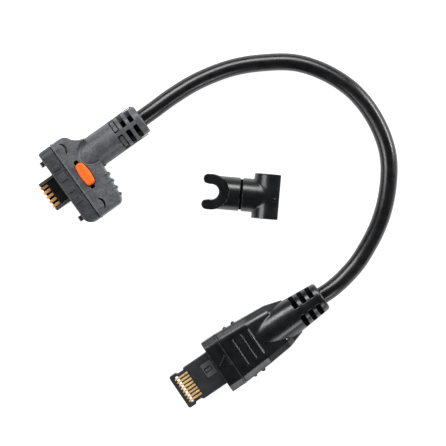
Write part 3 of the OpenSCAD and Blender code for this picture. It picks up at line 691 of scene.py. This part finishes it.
def release_button(x, y, z):
    plan = button_plan(x, y, BUTTON_HALF, 0)
    crown = length(x - CAP_X, z - CAP_LOW) - 2.6
    ends = both(crown, slab(y, CAP_Y - BUTTON_HALF, CAP_Y + BUTTON_HALF), 0.9)
    cap = both(both(plan, ends, 0.35), CAP_LOW - z)
    flange = box(x, y, z, (BUTTON_X - 2.4, CAP_Y - 3.3, 9.8),
                 (BUTTON_X + 1.2, CAP_Y + 3.3, 10.5), 0.15)
    foot = box(x, y, z, (BUTTON_X - 0.2, -2.5, 7.7), (BUTTON_X + 0.6, 2.5, 10.0), 0.12)
    return joined(joined(cap, flange, 0.1), foot, 0.1)


def catch_yoke(x, y, z):
    side = np.abs(y) - HOOK_Y
    arm = box(x, side, z, (-1.3, -ARM_HALF, 6.4), (8.2, ARM_HALF, 7.6), 0.15)
    hook = box(x, side, z, (-1.3, -ARM_HALF, 6.6), (-0.75, ARM_HALF, 8.3), 0.15)
    lug = box(x, side, z, (6.7, -ARM_HALF, PIVOT_Z), (7.9, ARM_HALF, 10.3), 0.15)
    eye = rod(side, -ARM_HALF, ARM_HALF, x - PIVOT_X, z - PIVOT_Z, 1.2, 0.12)
    bar = box(x, y, z, (7.0, -HOOK_Y, 6.4), (8.2, HOOK_Y, 7.6), 0.15)
    tall = both(both(crescent(x, y, HOOK_Y) + 0.12, slab(z, 7.2, 11.3), 0.1), -y)
    lug = joined(lug, tall)
    yoke = joined(joined(joined(arm, hook, 0.1), joined(lug, eye, 0.1), 0.1), bar, 0.15)
    return cut(yoke, rod(side, -2, 2, x - PIVOT_X, z - PIVOT_Z, YOKE_PIN_R + 0.05), 0.06)


# ---- Flat plug and its boot ----

NOTCH = [(2.25, PLUG_HALF), (2.75, PLUG_HALF - 0.55), (4.45, PLUG_HALF - 0.55), (4.95, PLUG_HALF)]
PLUG_OUTLINE = (
    arc(0.6, PLUG_HALF - 0.6, 0.6, 180, 90, 5) + NOTCH
    + [(HOUSING_END, PLUG_HALF), (HOUSING_END, -PLUG_HALF)]
    + [(u, -v) for u, v in reversed(NOTCH)]
    + arc(0.6, 0.6 - PLUG_HALF, 0.6, 270, 180, 5)
)


def plug_lanes(y):
    """Distance across from the nearest of the eight contacts."""
    lane = np.clip(np.round(y / PLUG_PITCH + 3.5), 0, 7) - 3.5
    return y - lane * PLUG_PITCH


def plug_housing(x, y, z):
    body = both(outline(x, y, PLUG_OUTLINE), slab(z, PLUG_LOW, PLUG_TOP), 0.18)
    slot = box(x, y, z, (NOSE_BAR + 0.12, -CAVITY_HALF, PLUG_LOW - 1),
               (SLOT_BACK, CAVITY_HALF, PLUG_TOP + 1), 0.1)
    body = cut(body, slot, 0.08)
    lane = plug_lanes(y)
    neck = box(x, lane, z, (NOSE_BAR - 0.35, -0.3, PLUG_TOP - 0.7),
               (NOSE_BAR + 0.3, 0.3, PLUG_TOP + 1))
    groove_half, groove_back = 0.38, CONTACT_BACK + 0.05
    groove = box(x, lane, z, (SLOT_BACK - 0.2, -groove_half, PLUG_TOP - 0.7),
                 (groove_back, groove_half, PLUG_TOP + 1))
    well = box(x, lane, z, (CONTACT_BACK - 0.4, -groove_half, CAVITY_TOP - 0.3),
               (groove_back, groove_half, PLUG_TOP + 1))
    body = cut(body, joined(joined(neck, groove), well))
    cavity = box(x, y, z, (CONTACT_BACK - 0.4, -CAVITY_HALF, CAVITY_LOW),
                 (HOUSING_END + 1, CAVITY_HALF, CAVITY_TOP), 0.1)
    body = cut(body, cavity)
    anchor_slot = box(x, y, z, (ANCHOR_FRONT, ANCHOR_Y - ANCHOR_HALF, CAVITY_TOP - 0.3),
                      (ANCHOR_BACK, ANCHOR_Y + ANCHOR_HALF, PLUG_TOP + 1))
    return cut(body, anchor_slot, 0.08)


def plug_contacts(x, y, z):
    lane, top = plug_lanes(y), PLUG_TOP - 0.12
    half, leg_front = 0.34, CONTACT_BACK - 0.3
    neck = box(x, lane, z, (NOSE_BAR - 0.3, -0.26, PLUG_TOP - 0.6),
               (SLOT_BACK + 0.3, 0.26, top - 0.05), 0.1)
    pad = box(x, lane, z, (SLOT_BACK + 0.01, -half, PLUG_TOP - 0.6), (CONTACT_BACK, half, top), 0.12)
    leg = box(x, lane, z, (leg_front, -half, MID - 0.15), (CONTACT_BACK, half, top), 0.1)
    tail = box(x, lane, z, (leg_front, -half, MID - 0.15), (7.4, half, MID + 0.15), 0.1)
    return joined(joined(neck, pad, 0.08), joined(leg, tail, 0.08))


def anchor_bar(x, y, z):
    across = y - ANCHOR_Y
    room = 0.04
    bar = box(x, across, z, (ANCHOR_FRONT + room, room - ANCHOR_HALF, CAVITY_TOP - 0.08),
              (ANCHOR_BACK - room, ANCHOR_HALF - room, PLUG_TOP + 0.15), 0.12)
    groove = box(x, across, z, (9.6, -0.9, PLUG_TOP - 0.35), (12.0, 0.75, PLUG_TOP + 1), 0.1)
    rib = box(x, across, z, (9.8, -0.45, PLUG_TOP - 0.6), (11.7, 0.3, PLUG_TOP + 0.02), 0.1)
    return joined(cut(bar, groove, 0.08), rib, 0.06)


def eight_sided(y, z, half_y, half_z, r):
    """Section across the boot, with its four corners cut off."""
    down = np.minimum(CORNER_H, half_z / 2)
    wide = CORNER_W * down / CORNER_H
    across, up = np.abs(y), np.abs(z - MID)
    corner = (across - half_y) * down + (up - half_z) * wide + down * wide
    corner = corner / np.sqrt(down * down + wide * wide)
    return both(both(across - half_y, up - half_z, r), corner, r)


def boot_collar(x, y, z):
    ring = both(eight_sided(y, z, COLLAR_HALF, MID, 0.35), slab(x, COLLAR_FRONT, BOOT_FRONT - 0.08), 0.2)
    rim = eight_sided(y, z, COLLAR_HALF + 0.05, MID + 0.24, 0.3)
    rise = (z - BODY_H) * 0.8 - (x - BOOT_FRONT + 0.42) * 0.6
    edge = both(both(rim, slab(x, BOOT_FRONT - 0.5, BOOT_FRONT - 0.08), 0.05), rise)
    ring = joined(ring, both(edge, MID - z))
    room = 0.03
    opening = both(slab(y, -PLUG_HALF - room, PLUG_HALF + room),
                   slab(z, PLUG_LOW - room, PLUG_TOP + room))
    ring = cut(ring, opening, 0.12)
    mark = both(outline(x, y, [(13.9, 0), (17, 2), (17, -2)]), slab(z, BODY_H - 0.5, BODY_H + 0.2), 0.1)
    return joined(ring, mark, 0.05)


def boot_body(x, y, z):
    up = z - MID
    out = length(y, up)
    stations = [BOOT_FRONT, WINGS_FALL, 33.8, WINGS_END]
    half_y = np.interp(x, stations, [8.15, 7.6, 7.0, 5.5])
    half_z = np.interp(x, stations, [MID, MID, 3.9, 0.6])
    wings = both(eight_sided(y, z, half_y, half_z, 0.35), slab(x, BOOT_FRONT, WINGS_END), 0.14)
    radius = np.interp(x, [WINGS_FALL, WINGS_END, 48.5, BOOT_END], [MID, 5.2, 4.35, 4.1])
    neck = both(out - radius, slab(x, WINGS_FALL, BOOT_END), 0.5)
    boot = joined(wings, neck, 0.18)
    core = both(slab(y, -CORE_HALF, CORE_HALF), slab(z, PLUG_LOW, PLUG_TOP))
    boot = cut(boot, both(core, x - CORE_END - 0.05))
    boot = cut(boot, rod(x, CORE_END - 1, BOOT_END + 1, y, up, JACKET_BORE), 0.12)
    boot = cut(boot, rod(x, CABLE_FINISH - 0.05, CABLE_FINISH + 2.95, y, up, RING_BORE))
    for start, end in BOOT_SLOTS:
        pocket = pockets(x, y, up, start, end, 1.25)
        boot = cut(boot, both(pocket, BOOT_FLOOR - out), 0.12)
    for place in RIB_PLACES:
        wedge = outline(x, z, [(place - 0.35, BODY_H - 0.5), (place - 0.35, BODY_H),
                               (place, BODY_H + 0.42), (place + 0.36, BODY_H + 0.05),
                               (place + 0.36, BODY_H - 0.5)])
        boot = joined(boot, both(wedge, slab(y, -RIB_HALF, RIB_HALF), 0.1))
    for place in RIB_PLACES[:2]:
        bump = rod(z, 2.6, BODY_H - 2.6, x - place, np.abs(y) - 7.8, 0.62, 0.3)
        boot = joined(boot, bump, 0.15)
    return boot


# ---- Clip ----


def clip_hook(x, y, z):
    plate = both(length(x - HOOK_X, y) - HOOK_R, slab(z, -HOOK_PLATE, HOOK_PLATE), 0.3)
    tip_x = HOOK_X - 1.1
    plate = both(plate, tip_x - x)
    across = np.abs(y) - (HOOK_R + HOOK_BORE) / 2
    half = (HOOK_R - HOOK_BORE) / 2
    tip = rod(z, -HOOK_PLATE, HOOK_PLATE, x - tip_x, across, half, 0.3)
    reach = box(x, across, z, (tip_x, -half, -HOOK_PLATE), (HOOK_X + 0.5, half, HOOK_PLATE), 0.3)
    mouth = both(np.where(x < HOOK_X, np.abs(y), length(x - HOOK_X, y)) - HOOK_BORE, slab(z, -5, 5))
    plate = cut(joined(joined(plate, tip), reach), mouth, 0.3)
    stem = rod(x, HOOK_X, -SWIVEL_GAP, y, z, STEM_R, 0.16)
    stem = cut(stem, length(x - HOOK_X, y) - HOOK_R + 0.02, 0.08)
    neck = rod(x, -SWIVEL_GAP - 1, 2.7, y, z, SWIVEL_PIN_R)
    head = rod(x, 2.6, 3.4, y, z, SWIVEL_HEAD_R, 0.3)
    disc = rod(x, -SWIVEL_GAP - 1, SWIVEL_GAP + 0.5, y, z, DISC_R, 0.1)
    return joined(joined(plate, stem, 0.08), joined(joined(neck, head), disc))


def clip_saddle(x, y, z):
    stem = rod(x, SWIVEL_GAP, SADDLE_X, y, z, STEM_R, 0.16)
    tube = rod(y, -SADDLE_HALF, SADDLE_HALF, x - SADDLE_X, z, STEM_R, 0.25)
    saddle = joined(stem, tube, 0.35)
    saddle = cut(saddle, rod(y, -9, 9, x - SADDLE_X, z, SADDLE_BORE), 0.2)
    mouth = both(SADDLE_X - x, slab(z, -2.6, 2.6))
    saddle = cut(saddle, mouth, 0.2)
    saddle = both(saddle, x - SADDLE_CUT, 0.25)
    socket = joined(rod(x, -1, 2.7, y, z, SWIVEL_PIN_R + 0.06),
                    rod(x, 2.5, 3.65, y, z, SWIVEL_HEAD_R + 0.1))
    recess = rod(x, -1, SWIVEL_GAP + 0.6, y, z, DISC_R + 0.08)
    saddle = cut(saddle, joined(socket, recess), 0.06)
    mark = cut(box(x, y, z, (8.9, -1.8, 4.2), (10.2, -0.5, 4.76), 0.1),
               box(x, y, z, (9.25, -1.45, 4.3), (9.85, -0.85, 6)))
    return joined(saddle, mark)


# ---- The pieces ----


def paint_shade(thing, at, hidden):
    """Painted shade: near-black, dull material on the faces whose middle is in a hidden place."""
    thing.data.materials.append(PAINTED_SHADE_BLACK)
    back = at.inverted()
    for face in thing.data.polygons:
        if hidden(*(back @ face.center)):
            face.material_index = 1


def paint_shade_in_slots(thing, at, axis_y, start, radius):
    """Painted shade on the bottoms of a strain relief's slots: near-black, dull material where the black cable
    lies in shade.
    """
    paint_shade(thing, at, lambda u, v, w: u > start and math.hypot(v - axis_y, w - MID) < radius)


for name, field, low, high, material, slot, cell in (
    ("front_shell", front_shell, (0, -12.5, 0), (4.2, 12.5, 12.3), PAINTED_SHADE_SHELL_GREY, "shell_grey", 0.13),
    ("rear_shell", rear_shell, (4.2, -12.7, -0.2), (13.9, 12.7, 12.3), SHELL, "shell_grey", 0.14),
    ("tongue_frame", tongue_frame, (-5, -3.7, 3.8), (2.4, 5.5, 8.2), TONGUE, "shell_grey", 0.12),
    ("contact_block", contact_block, (-4.9, -2.8, 4.8), (3.4, 4.6, 7.8), INSERT, "insert_black", 0.1),
    ("tongue_contacts", tongue_contacts, (-5.4, -2.6, 6.2), (4.9, 4.4, 7.1), BRONZE, "contact_gold", 0.07),
):
    piece(name, field, low, high, material, AT_TEE, cell=cell)
neck = piece("neck_sleeve", neck_sleeve, (10.9, -1.2, 1.2), (30, 8.7, 10.8), NECK,
             AT_TEE, cell=0.11)
# Painted shade on the floors of the neck's deep slots
paint_shade_in_slots(neck, AT_TEE, NECK_Y, NECK_SLOTS[0][0] - 0.2, NECK_FLOOR + 0.3)
piece("release_button", release_button, (4.9, -3.4, 7.6), (9.7, 4.2, 12.9), ORANGE,
      AT_TEE, "button", 0.09)
piece("catch_yoke", catch_yoke, (-1.3, -10.3, 5.7), (8.3, 11.3, 11.4), STEEL,
      AT_TEE, "catch", 0.11)
for name, field, low, high, material, slot, cell in (
    ("plug_housing", plug_housing, (0, -5.3, 3.4), (16, 5.3, 8.6), PLUG_BLACK, "plug_black", 0.1),
    ("plug_contacts", plug_contacts, (0.9, -4, 5.8), (7.4, 4, 8.5), GOLD, "contact_gold", 0.07),
    ("anchor_bar", anchor_bar, (9.2, -1.2, 7.1), (12.7, 3.1, 8.8), ANCHOR, "plug_black", 0.08),
    ("boot_collar", boot_collar, (13, -8.4, 0), (17.7, 8.4, 12.3), BOOT_BLACK, "boot_black", 0.1),
):
    piece(name, field, low, high, material, AT_PLUG, cell=cell)
boot = piece("boot_body", boot_body, (17.7, -8.5, 0), (49.3, 8.5, 12.5), BOOT_BLACK,
             AT_PLUG, cell=0.14)
# Painted shade on the floors of the boot's slots
paint_shade_in_slots(boot, AT_PLUG, 0, BOOT_SLOTS[0][0] - 0.2, BOOT_FLOOR + 0.3)
hook = piece("clip_hook", clip_hook, (-11.2, -5.2, -4.8), (3.4, 5.2, 4.8), CLIP_BLACK,
             AT_CLIP, "clip_arm", 0.13)
# Painted shade on the hook's swivel parts inside the saddle, so the gap reads dark
paint_shade(hook, AT_CLIP, lambda u, v, w: u > -SWIVEL_GAP + 0.01)
piece("clip_saddle", clip_saddle, (0.3, -6.5, -4.8), (11, 6.5, 4.8), CLIP_BLACK,
      AT_CLIP, "clip_base", 0.13)

# ---- Cable and wires ----


def curve_through(points, steps):
    """Points along the Catmull-Rom curve through the given ones."""
    p = np.array(points, float)
    p = np.concatenate([p[:1], p, p[-1:]])
    line = []
    for a, b, c, d in zip(p, p[1:], p[2:], p[3:]):
        for t in np.arange(steps) / steps:
            line.append(0.5 * (2 * b + (c - a) * t + (2 * a - 5 * b + 4 * c - d) * t * t
                               + (3 * b - a - 3 * c + d) * t ** 3))
    return line + [p[-1]]


def tube(name, points, radius, material, slot, steps, around=8):
    """Round tube along a smooth curve through points in metres."""
    curve = bpy.data.curves.new(name, "CURVE")
    curve.dimensions = "3D"
    curve.bevel_depth = radius
    curve.bevel_resolution = around
    curve.use_fill_caps = True
    line = curve_through(points, steps)
    spline = curve.splines.new("POLY")
    spline.points.add(len(line) - 1)
    for point, place in zip(spline.points, line):
        point.co = (*place, 1)
    spline.use_smooth = True
    curve.materials.append(material)
    thing = bpy.data.objects.new(name, curve)
    bpy.context.scene.collection.objects.link(thing)
    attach(thing, "root")
    return thing


# Route of the cable in metres, the same points as the CAD part's tube
ROUTE = (
    [AT_TEE @ Vector((x, NECK_Y, z)) for x, z in ((19, 6), (25, 6), (30, 6), (34, 5.8))]
    + [Vector(p) for p in (
        (-0.0035, 0.0460, 0.0046), (0.0040, 0.0505, 0.0032), (0.0130, 0.0540, 0.0026),
        (0.0220, 0.0555, 0.0025), (0.0315, 0.0555, 0.0025), (0.0405, 0.0525, 0.0025),
        (0.0485, 0.0470, 0.0025), (0.0545, 0.0390, 0.0025), (0.0580, 0.0295, 0.0025),
        (0.0580, 0.0195, 0.00255), (0.0555, 0.0095, 0.00275), (0.0505, 0.0000, 0.0036),
        (0.0460, -0.0055, 0.0048),
    )]
    + [AT_PLUG @ Vector((x, 0, z)) for x, z in ((52.8, 5.9), (49.3, 6), (44, 6), (38, 6))]
)
cable = tube("cable_jacket", ROUTE, CABLE_R * MM, CABLE_BLACK, "cable_black", 8)
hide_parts("cable")

# ---- CAD nodes that keep their shape ----

for node, material in (
    ("circuit_board", BOARD), ("yoke_pins", BRIGHT), ("catch_spring", BRIGHT),
    ("tee_crimp_ring", ALUMINIUM), ("boot_crimp_ring", ALUMINIUM),
    ("load_bar", CLEAR), ("boot_core", CORE), ("tee_wires", WIRE), ("plug_wires", WIRE),
):
    mesh = frame["nodes"][node].data
    mesh.materials.clear()
    mesh.materials.append(material)

# ---- Floor and light ----

floor_mesh = bpy.data.meshes.new("floor")
FLOOR_HALF = 3.0
corners = [(u * FLOOR_HALF, v * FLOOR_HALF, 0) for u, v in ((-1, -1), (1, -1), (1, 1), (-1, 1))]
floor_mesh.from_pydata(corners, [], [(0, 1, 2, 3)])
floor = bpy.data.objects.new("floor", floor_mesh)
floor.location.z = -0.00005
bpy.context.scene.collection.objects.link(floor)
paper, nodes, links, bsdf, place = shader("floor_white")
mottle = two_tone(nodes, links, noise(nodes, links, place, 40, 3),
                  srgb(170, 170, 171), srgb(174, 174, 174))
links.new(mottle, bsdf.inputs["Base Color"])
bsdf.inputs["Roughness"].default_value = 0.9
bsdf.inputs["Emission Color"].default_value = (1, 1, 1, 1)
bsdf.inputs["Emission Strength"].default_value = 0.85
floor_mesh.materials.append(paper)

world = bpy.data.worlds.new("studio")
world.use_nodes = True
world.node_tree.nodes["Background"].inputs["Color"].default_value = (0.9, 0.95, 1.0, 1)
world.node_tree.nodes["Background"].inputs["Strength"].default_value = 0.05
bpy.context.scene.world = world


def softbox(name, place, size, watts):
    """Rectangular softbox that faces the middle of the set."""
    light = bpy.data.objects.new(name, bpy.data.lights.new(name, "AREA"))
    light.data.shape = "RECTANGLE"
    light.data.size, light.data.size_y = size
    light.data.energy = watts
    light.location = Vector(place)
    target = Vector((VIEW_CENTRE[0] * MM, VIEW_CENTRE[1] * MM, 0))
    light.rotation_euler = (target - light.location).to_track_quat("-Z", "Y").to_euler()
    bpy.context.scene.collection.objects.link(light)


softbox("light_top", (-0.04, 0.55, 0.46), (0.64, 0.24), 6.5)
softbox("light_left", (-0.50, -0.03, 0.46), (0.30, 0.34), 2.8)
softbox("light_lower_left", (-0.46, -0.34, 0.33), (0.30, 0.12), 0.7)
softbox("light_right", (0.62, 0.34, 0.24), (0.40, 0.16), 4.4)
softbox("light_lower_right", (0.27, -0.32, 0.19), (0.24, 0.13), 0.6)

bpy.context.scene.view_settings.view_transform = "Standard"
